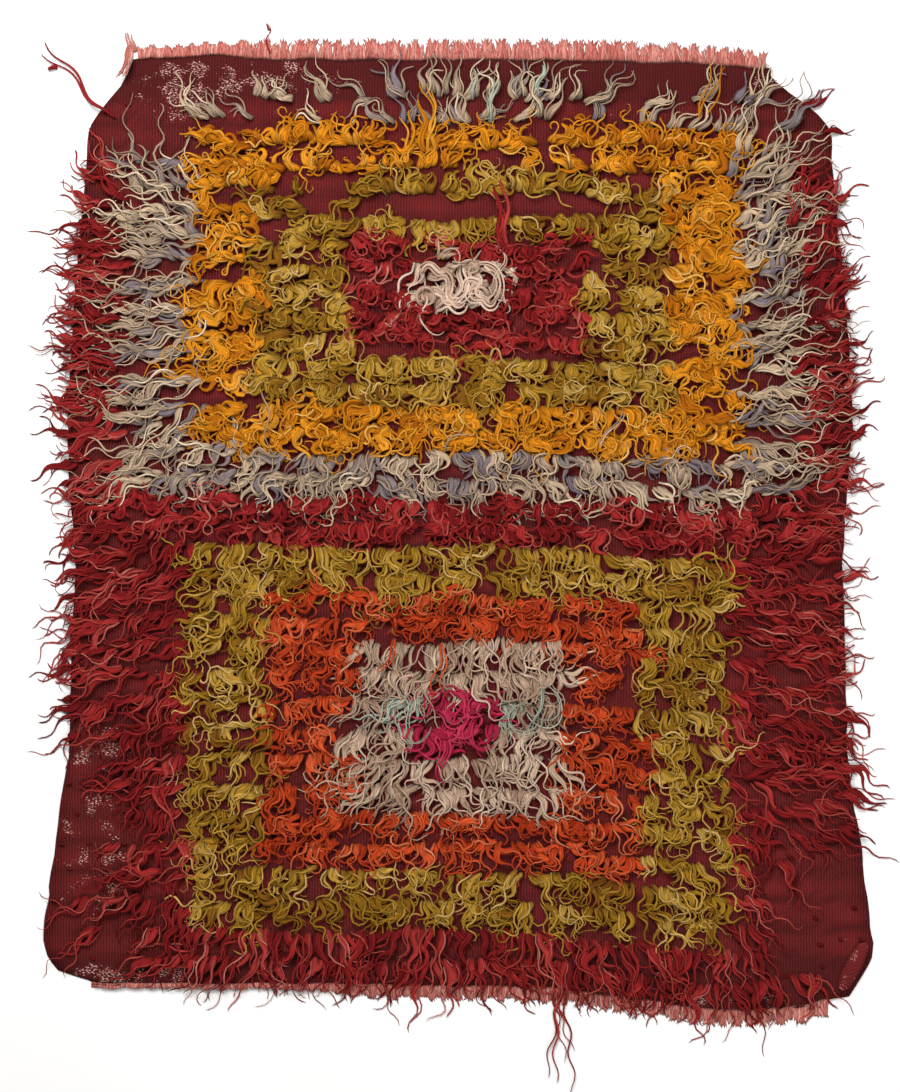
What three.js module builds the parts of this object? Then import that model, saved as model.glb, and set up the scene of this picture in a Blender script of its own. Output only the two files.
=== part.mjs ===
// A hand-woven long-pile wool rug, lying flat on the floor with its pile up.
// One lumpy slab holds the ground weave, the rows of knotted locks on it and the locks that fall
// over its rim. The cut warp ends at both ends of the cloth are fringes on strips of their own.
// Millimetres, +Z up, +Y towards the end that was woven last. The origin is on the floor, in the
// middle of the rug's reach.
import * as THREE from "three";

// Driving dimensions.
const WEAVE = 3; // thickness of the bare ground weave
const PILE = 27; // height of the thickest pile above the weave
const HALF_REACH_X = 600; // the furthest side locks, left and right
const HALF_REACH_Y = 750; // the furthest end locks and warp ends
const TOP_END = 697; // the two ends of the ground weave, before they wander
const BOTTOM_END = -600;
const PILE_ROWS = 32; // rows of knots between the two ends
const GRID_ROWS = 2 * PILE_ROWS; // a crest and a valley for each row of knots
const COLUMNS = 40; // slab columns, each about two locks wide
const END_BEND = 220; // how far into the cloth an uneven end bends the rows
const EDGE_WANDER = 2; // unevenness of every edge, either way
const PART_GAP = 0.6; // clearance between a fringe strip and the cloth

// Pile height as a share of PILE: on a row of knots, between two rows, and at the rim.
const CREST = { least: 0.62, most: 1 };
const VALLEY = { least: 0.3, most: 0.62 };
const RIM_SHARE = 0.25;
const RIM_SLOPE = 45; // distance from the edge over which the pile comes to its full height

// The two sides of the ground weave: where the left and the right edge lie at each height.
// The first and last three rows are the slanting corners.
const SIDES = [
  { y: 697, left: -452, right: 437 },
  { y: 660, left: -484, right: 486 },
  { y: 620, left: -515, right: 522 },
  { y: 528, left: -524, right: 526 },
  { y: 360, left: -538, right: 543 },
  { y: 200, left: -547, right: 552 },
  { y: 100, left: -544, right: 543 },
  { y: 10, left: -536, right: 539 },
  { y: -170, left: -542, right: 543 },
  { y: -275, left: -546, right: 546 },
  { y: -380, left: -562, right: 563 },
  { y: -480, left: -574, right: 577 },
  { y: -535, left: -581, right: 582 },
  { y: -568, left: -570, right: 561 },
  { y: -600, left: -544, right: 538 },
];

// How far each end of the weave wanders from its straight line.
const TOP_WANDER = [
  { x: -460, rise: 2 },
  { x: -320, rise: 8 },
  { x: -290, rise: 1 },
  { x: 100, rise: 0 },
  { x: 300, rise: -3 },
  { x: 440, rise: -14 },
];
const BOTTOM_WANDER = [
  { x: -550, rise: 2 },
  { x: -150, rise: -1 },
  { x: 140, rise: -4 },
  { x: 255, rise: -22 },
  { x: 340, rise: -34 },
  { x: 425, rise: -37 },
  { x: 480, rise: -31 },
  { x: 540, rise: -15 },
];

// Patches where the ground shows: half sizes across and along, and the share of pile that is left.
const BARE_PATCHES = [
  { x: -420, y: 650, across: 170, along: 70, left: 0.12 }, // worn top corner, left
  { x: 20, y: 672, across: 480, along: 42, left: 0.3 }, // thin row at the top end
  { x: 470, y: 630, across: 120, along: 80, left: 0.12 }, // top corner, right
  { x: 150, y: 555, across: 190, along: 22, left: 0.3 }, // gap under the top gold rows
  { x: -130, y: 470, across: 80, along: 30, left: 0.45 }, // gaps beside the centre box
  { x: 170, y: 430, across: 50, along: 90, left: 0.5 },
  { x: -510, y: -330, across: 60, along: 150, left: 0.25 }, // worn left edge
  { x: -500, y: -530, across: 130, along: 90, left: 0.12 }, // bottom corner, left
  { x: 500, y: -500, across: 130, along: 150, left: 0.12 }, // bottom corner, right
  { x: 520, y: -60, across: 50, along: 170, left: 0.4 }, // thin right edge
];
const PATCH_FADE = { starts: 0.5, ends: 1.3 }; // where a patch gives way to pile, in half sizes

// The bottom right corner is turned over on to the face, so the cloth is double there.
const TURNOVER = { x: 566, y: -582, radius: 46 };

// Locks that fall over the rim, a row for each stretch of the edge and one lock for each `every`
// slab cells. Headings are in degrees, counted from +X, and turn evenly along the stretch.
const RIM = [
  { side: "left", from: 612, to: 50, every: 2, reach: 44, heading: [172, 186] },
  { side: "left", from: 50, to: -300, every: 2, reach: 42, heading: [180, 192] },
  { side: "left", from: -300, to: -470, every: 2, reach: 18, heading: [190, 197] },
  { side: "right", from: 530, to: 40, every: 2, reach: 40, heading: [22, 6] },
  { side: "right", from: 40, to: -300, every: 2, reach: 40, heading: [6, -10] },
  { side: "right", from: -300, to: -470, every: 2, reach: 17, heading: [-8, -14] },
  { side: "bottom", from: -385, to: -105, every: 1, reach: 72, heading: [-101, -92] },
  { side: "bottom", from: 125, to: 378, every: 1, reach: 62, heading: [-96, -84] },
];
const REACH_SPREAD = { least: 0.45, most: 1.05 }; // of a stretch's reach, from lock to lock
const SWING = { angle: 7, turn: 1.7 }; // how a lock's heading differs from its neighbour's
const LOCK = { width: 22, height: 9, sway: 3.5, steps: 4 };

// Single long ends that set the rug's reach, each at one place of an edge.
const STRAY_ENDS = [
  { side: "left", at: 640, tip: [-590, 694] }, // loose cord at the top left corner
  { side: "left", at: 292, tip: [-HALF_REACH_X, 286] },
  { side: "right", at: 92, tip: [HALF_REACH_X, 102] },
  { side: "bottom", at: 148, tip: [152, -HALF_REACH_Y] },
];
const STRAY = { width: 12, height: 7, sway: 5, steps: 5 };

// Warp fringes: the stretch of each end that one strip covers, and the strands' length.
const FRINGES = [
  { name: "warp_fringe_top", end: "top", from: -452, to: 437, length: 22 },
  { name: "warp_fringe_bottom_left", end: "bottom", from: -500, to: -395, length: 20 },
  { name: "warp_fringe_bottom_middle", end: "bottom", from: -95, to: 115, length: 19 },
  { name: "warp_fringe_bottom_right", end: "bottom", from: 388, to: 515, length: 22 },
];
const LONGEST_HAIR = { end: "top", at: -255, tip: [-266, HALF_REACH_Y] };
const STRIP = { width: 8, thickness: 2.4 };
const STRAND_ROOTS = [[0.08, 0.44], [0.56, 0.92]]; // where strands start and stop across a slab cell
const STRAND_SPREAD = { least: 0.5, most: 1.1 }; // of a fringe's length, from strand to strand
const STRAND_LEAN = { share: 0.15, turn: 0.8 }; // sideways lean, as a share of the length
const STRAND = { width: 7, height: 2.4, sway: 1.2, steps: 2 };

const CROWN = 0.5; // width of a lock's back, as a share of its width on the floor
const TAPER = 1.8; // how late along its length a lock grows thin
const BEND = 4.4; // angle that a lock's sway runs through from its root to its tip

// Helpers.
const { clamp, degToRad, lerp: mix, smoothstep } = THREE.MathUtils;
const spread = ({ least, most }, share) => mix(least, most, share);

// An even scatter from 0 to 1 that is the same on every run.
function scatter(i, j) {
  const wave = Math.sin(i * 12.9898 + j * 78.233) * 43758.5453;
  return wave - Math.floor(wave);
}

// The value in column `want` of a table at `at`, straight between the rows, whose `key` column
// runs either way.
function tableValue(table, key, want, at) {
  const rows = [...table].sort((a, b) => a[key] - b[key]);
  const next = rows.findIndex((row) => at <= row[key]);
  if (next === 0) return rows[0][want];
  if (next < 0) return rows.at(-1)[want];
  const low = rows[next - 1];
  const high = rows[next];
  return mix(low[want], high[want], (at - low[key]) / (high[key] - low[key]));
}

const edgeLeft = (y) => tableValue(SIDES, "y", "left", y);
const edgeRight = (y) => tableValue(SIDES, "y", "right", y);

// A straight row of the cloth at height y takes this place once the uneven ends bend it.
function bent(x, y) {
  const nearTop = clamp(1 - (TOP_END - y) / END_BEND, 0, 1);
  const nearBottom = clamp(1 - (y - BOTTOM_END) / END_BEND, 0, 1);
  const rise = tableValue(TOP_WANDER, "x", "rise", x) * nearTop;
  const fall = tableValue(BOTTOM_WANDER, "x", "rise", x) * nearBottom;
  return y + rise + fall;
}

// Grid row j of the cloth, as places from its left edge to its right.
function clothRow(j) {
  const straight = mix(BOTTOM_END, TOP_END, j / GRID_ROWS);
  const uneven = (i) => EDGE_WANDER * (2 * scatter(i, j) - 1);
  const left = edgeLeft(straight) + uneven(0);
  const right = edgeRight(straight) + uneven(COLUMNS);
  return Array.from({ length: COLUMNS + 1 }, (_, i) => {
    const x = mix(left, right, i / COLUMNS);
    return { x, y: bent(x, straight) + uneven(i) };
  });
}

const CLOTH = Array.from({ length: GRID_ROWS + 1 }, (_, j) => clothRow(j));
const END_ROWS = { top: CLOTH[GRID_ROWS], bottom: CLOTH[0] };
const edgeAt = (end, x) => tableValue(END_ROWS[end], "x", "y", x);

// Share of the full pile at a place: thin towards the rim and in the bare patches.
function cover(x, y) {
  const toSide = Math.min(x - edgeLeft(y), edgeRight(y) - x);
  const toEnd = Math.min(edgeAt("top", x) - y, y - edgeAt("bottom", x));
  const rim = clamp(Math.min(toSide, toEnd) / RIM_SLOPE, 0, 1);
  return BARE_PATCHES.reduce((share, patch) => {
    const away = Math.hypot((x - patch.x) / patch.across, (y - patch.y) / patch.along);
    return share * mix(patch.left, 1, smoothstep(away, PATCH_FADE.starts, PATCH_FADE.ends));
  }, mix(RIM_SHARE, 1, rim));
}

// Height of the slab's top at grid place i, j: the weave, doubled in the turned corner, with the
// pile on it.
function topHeight(i, j) {
  const { x, y } = CLOTH[j][i];
  const doubled = Math.hypot(x - TURNOVER.x, y - TURNOVER.y) < TURNOVER.radius;
  const cloth = doubled ? 2 * WEAVE : WEAVE;
  if (i === 0 || j === 0 || i === COLUMNS || j === GRID_ROWS) return cloth;
  const share = spread(j % 2 ? CREST : VALLEY, scatter(i, j));
  return cloth + PILE * share * cover(x, y);
}

// A lock or strand lying on the floor. It grows out of one cell of an upright edge, whose corners
// are given as floor and top at its start, then top and floor at its end, sways from side to side
// and tapers to its tip. Each ring across it has two corners on the floor and two on its back.
function growLock({ points, triangles }, [floorA, floorB, topB, topA], tip, shape, phase) {
  const root = new THREE.Vector3().addVectors(points[floorA], points[floorB]).multiplyScalar(0.5);
  const run = new THREE.Vector3(tip[0], tip[1], 0).sub(root);
  const across = new THREE.Vector3(-run.y, run.x, 0).normalize();
  let ring = [floorA, floorB, topB, topA];
  for (let k = 1; k < shape.steps; k++) {
    const t = k / shape.steps;
    const size = 1 - t ** TAPER;
    const middle = root.clone().addScaledVector(run, t);
    middle.addScaledVector(across, shape.sway * t * Math.sin(phase + BEND * t));
    const corner = (side, up) => {
      const half = (shape.width / 2) * size * (up ? CROWN : 1);
      return middle.clone().addScaledVector(across, side * half).setZ(up * shape.height * size);
    };
    const first = points.push(corner(-1, 0), corner(1, 0), corner(1, 1), corner(-1, 1)) - 4;
    const next = [first, first + 1, first + 2, first + 3];
    ring.forEach((a, s) => {
      const turn = (s + 1) % 4;
      triangles.push([a, ring[turn], next[turn]], [a, next[turn], next[s]]);
    });
    ring = next;
  }
  const end = points.push(new THREE.Vector3(tip[0], tip[1], 0)) - 1;
  ring.forEach((a, s) => triangles.push([a, ring[(s + 1) % 4], end]));
}

// An upright edge cell with nothing growing out of it.
function closeWall({ triangles }, [floorA, floorB, topB, topA]) {
  triangles.push([floorA, floorB, topB], [floorA, topB, topA]);
}

function geometryFrom({ points, triangles }) {
  const geometry = new THREE.BufferGeometry().setFromPoints(points);
  geometry.setIndex(triangles.flat());
  geometry.computeVertexNormals();
  return geometry;
}

// The lock that grows out of cell n of one side, between two places of its edge, if any.
function lockAt(side, n, start, stop) {
  const along = side === "bottom" ? "x" : "y";
  const [low, high] = [start[along], stop[along]].sort((a, b) => a - b);
  const stray = STRAY_ENDS.find((end) => end.side === side && end.at >= low && end.at < high);
  if (stray) return { tip: stray.tip, shape: STRAY };
  const at = (low + high) / 2;
  const inStretch = ({ from, to }) => (at - from) * (at - to) < 0;
  const stretch = RIM.find((row) => row.side === side && inStretch(row));
  if (!stretch || n % stretch.every) return undefined;
  const { from, to, reach, heading } = stretch;
  const straight = mix(heading[0], heading[1], (at - from) / (to - from));
  const turned = degToRad(straight + SWING.angle * Math.sin(SWING.turn * n));
  const far = reach * spread(REACH_SPREAD, scatter(n, reach));
  const x = (start.x + stop.x) / 2 + far * Math.cos(turned);
  const y = (start.y + stop.y) / 2 + far * Math.sin(turned);
  return { tip: [x, y], shape: LOCK };
}

// The pile rug in one piece: a top that rises and falls with the rows of locks, upright edges with
// the rim locks growing out of them, and a flat underside.
function pileRug() {
  const mesh = { points: [], triangles: [] };
  const at = (i, j) => j * (COLUMNS + 1) + i;
  CLOTH.forEach((row, j) => {
    row.forEach(({ x, y }, i) => mesh.points.push(new THREE.Vector3(x, y, topHeight(i, j))));
  });
  for (let j = 0; j < GRID_ROWS; j++) {
    for (let i = 0; i < COLUMNS; i++) {
      mesh.triangles.push([at(i, j), at(i + 1, j), at(i + 1, j + 1)]);
      mesh.triangles.push([at(i, j), at(i + 1, j + 1), at(i, j + 1)]);
    }
  }
  // The rim, counter-clockwise from the bottom left corner, and the floor points below it.
  const columns = Array.from({ length: COLUMNS }, (_, i) => i);
  const rows = Array.from({ length: GRID_ROWS }, (_, j) => j);
  const rim = [
    ...columns.map((i) => ({ side: "bottom", n: i, top: at(i, 0) })),
    ...rows.map((j) => ({ side: "right", n: j, top: at(COLUMNS, j) })),
    ...columns.map((i) => ({ side: "top", n: i, top: at(COLUMNS - i, GRID_ROWS) })),
    ...rows.map((j) => ({ side: "left", n: j, top: at(0, GRID_ROWS - j) })),
  ];
  const floorUnder = new Map(
    rim.map(({ top }) => [top, mesh.points.push(mesh.points[top].clone().setZ(0)) - 1]),
  );
  rim.forEach(({ side, n, top }, k) => {
    const next = rim[(k + 1) % rim.length].top;
    const wall = [floorUnder.get(top), floorUnder.get(next), next, top];
    const lock = lockAt(side, n, mesh.points[top], mesh.points[next]);
    if (lock) growLock(mesh, wall, lock.tip, lock.shape, 2 * k);
    else closeWall(mesh, wall);
  });
  // The underside: one band between the two sides for each grid row, and fans at the ends, where
  // the edge has a point at every column.
  const floor = (i, j) => floorUnder.get(at(i, j));
  const last = GRID_ROWS - 1;
  for (let j = 1; j < last; j++) {
    mesh.triangles.push([floor(0, j), floor(0, j + 1), floor(COLUMNS, j + 1)]);
    mesh.triangles.push([floor(0, j), floor(COLUMNS, j + 1), floor(COLUMNS, j)]);
  }
  const half = COLUMNS / 2;
  columns.forEach((i) => {
    const corner = i < half ? 0 : COLUMNS;
    mesh.triangles.push([floor(i, 0), floor(corner, 1), floor(i + 1, 0)]);
    mesh.triangles.push([floor(i, GRID_ROWS), floor(i + 1, GRID_ROWS), floor(corner, last)]);
  });
  mesh.triangles.push([floor(half, 0), floor(0, 1), floor(COLUMNS, 1)]);
  mesh.triangles.push([floor(half, GRID_ROWS), floor(COLUMNS, last), floor(0, last)]);
  return geometryFrom(mesh);
}

// One warp fringe: a narrow strip along the end of the cloth with its strands fused to it. It is
// laid out along the end from left to right at the top and from right to left at the bottom, so
// that the cloth is always on the right hand.
function warpFringe({ end, from, to, length }) {
  const mesh = { points: [], triangles: [] };
  const out = end === "top" ? 1 : -1;
  const corners = END_ROWS[end].map(({ x }) => x).filter((x) => x >= from && x <= to);
  if (end === "bottom") corners.reverse();
  const stations = [];
  corners.slice(0, -1).forEach((x, cell) => {
    const place = (share) => mix(x, corners[cell + 1], share);
    stations.push({ x, cell });
    STRAND_ROOTS.forEach(([start, stop], n) => {
      stations.push({ x: place(start), cell, strand: n }, { x: place(stop), cell });
    });
  });
  stations.push({ x: corners.at(-1) });
  // Four points at each station: the inner edge's floor and top, then the outer edge's.
  for (const { x } of stations) {
    const inner = edgeAt(end, x) + out * PART_GAP;
    for (const y of [inner, inner + out * STRIP.width]) {
      mesh.points.push(new THREE.Vector3(x, y, 0), new THREE.Vector3(x, y, STRIP.thickness));
    }
  }
  const [innerFloor, innerTop, outerFloor, outerTop] = [0, 1, 2, 3];
  const at = (station, corner) => 4 * station + corner;
  const section = (k) => [innerFloor, innerTop, outerTop, outerFloor].map((c) => at(k, c));
  const [a, b, c, d] = section(0);
  mesh.triangles.push([a, b, c], [a, c, d]);
  const [e, f, g, h] = section(stations.length - 1);
  mesh.triangles.push([e, g, f], [e, h, g]);
  stations.slice(0, -1).forEach(({ x, cell, strand }, k) => {
    const face = (first, second) => {
      closeWall(mesh, [at(k, first), at(k, second), at(k + 1, second), at(k + 1, first)]);
    };
    face(outerTop, innerTop);
    face(innerFloor, outerFloor);
    face(innerTop, innerFloor);
    const wall = [at(k + 1, outerFloor), at(k, outerFloor), at(k, outerTop), at(k + 1, outerTop)];
    if (strand === undefined) {
      closeWall(mesh, wall);
      return;
    }
    const next = stations[k + 1].x;
    const far = STRIP.width + length * spread(STRAND_SPREAD, scatter(x, strand));
    const lean = STRAND_LEAN.share * far * Math.sin(STRAND_LEAN.turn * k);
    const middle = (x + next) / 2;
    const hair = [middle + lean, edgeAt(end, middle) + out * far];
    const inCell = (LONGEST_HAIR.at - corners[cell]) * (LONGEST_HAIR.at - corners[cell + 1]) < 0;
    const longest = end === LONGEST_HAIR.end && strand === 0 && inCell;
    growLock(mesh, wall, longest ? LONGEST_HAIR.tip : hair, STRAND, k);
  });
  return geometryFrom(mesh);
}

// Assembly.
const wool = new THREE.MeshStandardMaterial({ color: 0x7a1d20, roughness: 0.9, metalness: 0 });
const warp = new THREE.MeshStandardMaterial({ color: 0xc4736a, roughness: 0.9, metalness: 0 });

function named(name, geometry, material) {
  const mesh = new THREE.Mesh(geometry, material);
  mesh.name = name;
  return mesh;
}

const rug = new THREE.Group();
rug.name = "long_pile_rug";
rug.add(named("pile_rug", pileRug(), wool));
for (const fringe of FRINGES) rug.add(named(fringe.name, warpFringe(fringe), warp));

export default rug;
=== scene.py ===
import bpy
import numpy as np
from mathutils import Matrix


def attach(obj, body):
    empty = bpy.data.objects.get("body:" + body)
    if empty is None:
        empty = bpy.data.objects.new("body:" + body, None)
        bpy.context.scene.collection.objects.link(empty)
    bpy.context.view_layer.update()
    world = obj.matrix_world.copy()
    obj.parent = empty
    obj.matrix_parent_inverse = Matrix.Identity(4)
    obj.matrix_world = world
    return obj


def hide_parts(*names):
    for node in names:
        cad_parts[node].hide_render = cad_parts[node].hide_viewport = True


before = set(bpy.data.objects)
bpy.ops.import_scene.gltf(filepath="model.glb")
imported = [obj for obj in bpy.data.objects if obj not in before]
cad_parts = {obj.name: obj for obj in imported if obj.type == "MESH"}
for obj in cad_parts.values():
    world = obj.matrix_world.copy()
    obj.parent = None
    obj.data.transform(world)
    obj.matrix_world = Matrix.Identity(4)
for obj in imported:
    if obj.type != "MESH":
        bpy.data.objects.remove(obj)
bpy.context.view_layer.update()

# %% [markdown]
# # A long-pile wool rug, seen from above
# The rug is a flat weave of dark wool with rows of long wool locks knotted into it. Everything is
# worked out in millimetres and turned into metres only when a mesh is made, because a weaver's
# sizes (warps 4 mm apart, rows of knots 33 to 40 mm apart) are easiest to think about that way.

MM = 0.001
WEAVE = 3.0
SEED = 1871
rng = np.random.default_rng(SEED)

# %% [markdown]
# ## The edge of the cloth
# The solid model already has the rug's uneven outline. Its rim is the set of points that lie one
# weave thickness above the floor (two where the corner is turned over), so the edge is read from
# there instead of being typed again. Each side then becomes a function: give a height and get the
# left edge, or give a place across and get the top edge.

# %% The four edges as functions
RIM_TOLERANCE = 0.02
RIM_BANDS = {"side": 430.0, "top": 680.0, "bottom": -594.0, "half_width": 548.0}


def node_points(name):
    """All vertices of a solid, in millimetres, each place once."""
    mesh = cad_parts[name].data
    flat = np.empty(3 * len(mesh.vertices), np.float32)
    mesh.vertices.foreach_get("co", flat)
    return np.unique(np.round(flat.reshape(-1, 3) / MM, 3), axis=0)


slab = node_points("pile_rug")
single = np.isclose(slab[:, 2], WEAVE, atol=RIM_TOLERANCE)
turned = np.isclose(slab[:, 2], 2 * WEAVE, atol=RIM_TOLERANCE)
rim = slab[single | turned]


def edge(points, key, value):
    """Straight lines through the points in the order of their `key` column, as a function."""
    order = points[np.argsort(points[:, key])]
    return lambda at: np.interp(at, order[:, key], order[:, value])


left_edge = edge(rim[rim[:, 0] < -RIM_BANDS["side"]], 1, 0)
right_edge = edge(rim[rim[:, 0] > RIM_BANDS["side"]], 1, 0)
near_end = np.abs(rim[:, 0]) < RIM_BANDS["half_width"]
top_edge = edge(rim[near_end & (rim[:, 1] > RIM_BANDS["top"])], 0, 1)
bottom_edge = edge(rim[near_end & (rim[:, 1] < RIM_BANDS["bottom"])], 0, 1)


def inset(x, y):
    """Distance from a place to the nearest edge of the cloth, negative outside it."""
    sides = np.minimum(x - left_edge(y), right_edge(y) - x)
    ends = np.minimum(top_edge(x) - y, y - bottom_edge(x))
    return np.minimum(sides, ends)


def smooth(t):
    """0 below 0, 1 above 1, and an S curve between."""
    t = np.clip(t, 0, 1)
    return t * t * (3 - 2 * t)


print("rim points", len(rim), "top edge at", top_edge(0.0), "bottom edge at", bottom_edge(0.0))

# %% [markdown]
# ## Camera and light
# The rug is shown face on, so the camera looks straight down. A long lens far away keeps the rows
# parallel. The lens is worked out for a frame of 900 by 1092 pixels at 1.4 mm a pixel, whose middle
# lies a little to the left of the rug's origin and above it.

# %% Camera and studio
IMAGE = (900, 1092)
PIXEL = 1.4
VIEW_CENTRE = (-11.2, 15.4)
CAMERA_HEIGHT = 6000.0
SENSOR = 36.0
LIGHTS = [
    # name, place and size in metres, power in watts
    ("key_light", (-0.8, 2.0, 3.0), 2.0, 170.0),
    ("fill_light", (1.6, -1.8, 3.0), 3.0, 80.0),
]
ROOM_LIGHT = 0.68

scene = bpy.context.scene
scene.view_settings.view_transform = "Standard"
camera = bpy.data.objects.new("camera", bpy.data.cameras.new("camera"))
camera.location = (VIEW_CENTRE[0] * MM, VIEW_CENTRE[1] * MM, CAMERA_HEIGHT * MM)
camera.data.sensor_width = SENSOR
camera.data.lens = SENSOR * CAMERA_HEIGHT / (IMAGE[1] * PIXEL)
scene.collection.objects.link(camera)
scene.camera = camera


def area_light(name, place, size, power):
    """A square soft light that faces the middle of the rug."""
    light = bpy.data.objects.new(name, bpy.data.lights.new(name, "AREA"))
    light.data.size = size
    light.data.energy = power
    light.location = place
    light.rotation_euler = (-light.location).to_track_quat("-Z", "Y").to_euler()
    scene.collection.objects.link(light)


for light_row in LIGHTS:
    area_light(*light_row)
scene.world = bpy.data.worlds.new("studio")
scene.world.use_nodes = True
scene.world.node_tree.nodes["Background"].inputs["Strength"].default_value = ROOM_LIGHT
print("lens", round(camera.data.lens, 1), "mm,", len(LIGHTS), "lights")

# %% [markdown]
# ## Materials
# Colours are written as sRGB hex values, as a colour picker shows them, and turned to the linear
# values that the renderer adds up. One small function adds a node, sets its properties and fills
# its inputs, either with a number or with a link from another node. A second one does sums.

# %% Helpers for materials


def linear(hex_colour):
    """sRGB hex to linear red, green, blue and alpha."""
    value = np.array([int(hex_colour[i:i + 2], 16) for i in (1, 3, 5)]) / 255
    light = np.where(value <= 0.04045, value / 12.92, ((value + 0.055) / 1.055) ** 2.4)
    return (*light.tolist(), 1.0)


def add_node(tree, kind, inputs=None, **settings):
    """Adds a node. Settings are its properties, and inputs are numbers, colours or other outputs."""
    node = tree.nodes.new(kind)
    for key, value in settings.items():
        setattr(node, key, value)
    for key, value in (inputs or {}).items():
        if isinstance(value, bpy.types.NodeSocket):
            tree.links.new(value, node.inputs[key])
        else:
            node.inputs[key].default_value = value
    return node


def add_math(tree, operation, *values):
    """Adds a node that works out one number, and returns that number's output."""
    return add_node(tree, "ShaderNodeMath", dict(enumerate(values)), operation=operation).outputs[0]


def set_ramp(node, stops):
    """Gives a colour ramp its stops, a list of place and hex colour."""
    ramp = node.color_ramp
    while len(ramp.elements) < len(stops):
        ramp.elements.new(1.0)
    for element, (place, colour) in zip(ramp.elements, stops):
        element.position = place
        element.color = linear(colour)


def new_material(name):
    """An empty material with a matt Principled shader, and its node tree and shader."""
    material = bpy.data.materials.new(name)
    material.use_nodes = True
    shader = material.node_tree.nodes["Principled BSDF"]
    shader.inputs["Roughness"].default_value = 0.88
    shader.inputs["Specular IOR Level"].default_value = 0.22
    return material, material.node_tree, shader


# %% [markdown]
# ## The floor
# A painted studio floor, so pale that it shows only as white round the rug. Its paint is matt and
# very slightly mottled.

# %% Floor
FLOOR_HALF = 6.0
FLOOR_PAINT = [(0.3, "#f4f3f1"), (0.7, "#f8f7f6")]


def make_floor():
    """A plain pale floor, much larger than the rug."""
    mesh = bpy.data.meshes.new("floor")
    corners = [(x * FLOOR_HALF, y * FLOOR_HALF, 0) for x, y in ((-1, -1), (1, -1), (1, 1), (-1, 1))]
    mesh.from_pydata(corners, [], [(0, 1, 2, 3)])
    material, tree, shader = new_material("painted_floor")
    place = add_node(tree, "ShaderNodeTexCoord")
    mottle = add_node(tree, "ShaderNodeTexNoise", {"Vector": place.outputs["Object"], "Scale": 3.0})
    ramp = add_node(tree, "ShaderNodeValToRGB", {"Fac": mottle.outputs["Fac"]})
    set_ramp(ramp, FLOOR_PAINT)
    tree.links.new(ramp.outputs["Color"], shader.inputs["Base Color"])
    mesh.materials.append(material)
    floor = bpy.data.objects.new("floor", mesh)
    scene.collection.objects.link(floor)


make_floor()

# %% [markdown]
# ## One way to make every mesh
# Locks, knots, fringe and cloth are all worked out as arrays of points with faces by index. This
# helper puts them in a mesh. Each piece carries a UV map cut into upright columns, one for each tint
# of its wool. A strand lies across one column, from its left side to its right, and V runs from its
# root to its tip. The colour of a strand depends on nothing else, so one map serves a whole piece.

# %% From arrays to a piece
UV_NAME = "OFBake"
COLUMNS = 24


def sharpen_flanks(mesh, uv):
    """Marks the long edges at both sides of each strand as sharp. Its upper face is then lit as the
    flat felted face it is, and not as the side of a smooth tube."""
    ends = np.empty(2 * len(mesh.edges), np.int32)
    mesh.edges.foreach_get("vertices", ends)
    at_side = np.abs(uv[:, 0] * COLUMNS % 1 - 0.5) > 0.3
    sharp = mesh.attributes.new("sharp_edge", "BOOLEAN", "EDGE")
    sharp.data.foreach_set("value", at_side[ends.reshape(-1, 2)].all(1))


def make_piece(name, points, faces, uv, material, slot):
    """A mesh piece from points in mm, a list of face arrays (quads, triangles) and UVs per point."""
    mesh = bpy.data.meshes.new(name)
    corners = np.concatenate([block.ravel() for block in faces]).astype(np.int32)
    sizes = np.concatenate([np.full(len(block), block.shape[1]) for block in faces])
    starts = np.concatenate([[0], np.cumsum(sizes)[:-1]]).astype(np.int32)
    mesh.vertices.add(len(points))
    mesh.vertices.foreach_set("co", (points * MM).astype(np.float32).ravel())
    mesh.loops.add(len(corners))
    mesh.loops.foreach_set("vertex_index", corners)
    mesh.polygons.add(len(starts))
    mesh.polygons.foreach_set("loop_start", starts)
    mesh.polygons.foreach_set("use_smooth", np.ones(len(starts), bool))
    layer = mesh.uv_layers.new(name=UV_NAME)
    layer.uv.foreach_set("vector", uv[corners].astype(np.float32).ravel())
    mesh.update(calc_edges=True)
    mesh.validate()
    if slot != "ground_weave":
        sharpen_flanks(mesh, uv)
    mesh.materials.append(material)
    piece = bpy.data.objects.new(name, mesh)
    scene.collection.objects.link(piece)
    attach(piece, "root")
    print(name, int((sizes - 2).sum()), "triangles")
    return piece


# %% [markdown]
# ## The ground weave
# The cloth is a profile carried along the warp: a flat oval as wide as the rug at each height,
# from the bottom end to the top. It is 3 mm thick, rises a little under each row of knots, and is
# pinched at the two selvedges, where the weft turns round the last warp. Every band of colour is
# two rows of knots deep, and the weaver set the rows closer together from the middle upwards.

# %% Rows of knots
UPPER_ROWS = {"highest": 640.0, "pitch": 32.9, "count": 24}
LOWER_ROWS = {"pitch": 40.3, "count": 11}
upper_y = UPPER_ROWS["highest"] - UPPER_ROWS["pitch"] * np.arange(UPPER_ROWS["count"])
lower_y = upper_y[-1] - LOWER_ROWS["pitch"] * np.arange(1, LOWER_ROWS["count"] + 1)
row_y = np.concatenate([upper_y, lower_y])[::-1]
print(len(row_y), "rows of knots, from", round(row_y[0], 1), "to", round(row_y[-1], 1), "mm")

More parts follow.
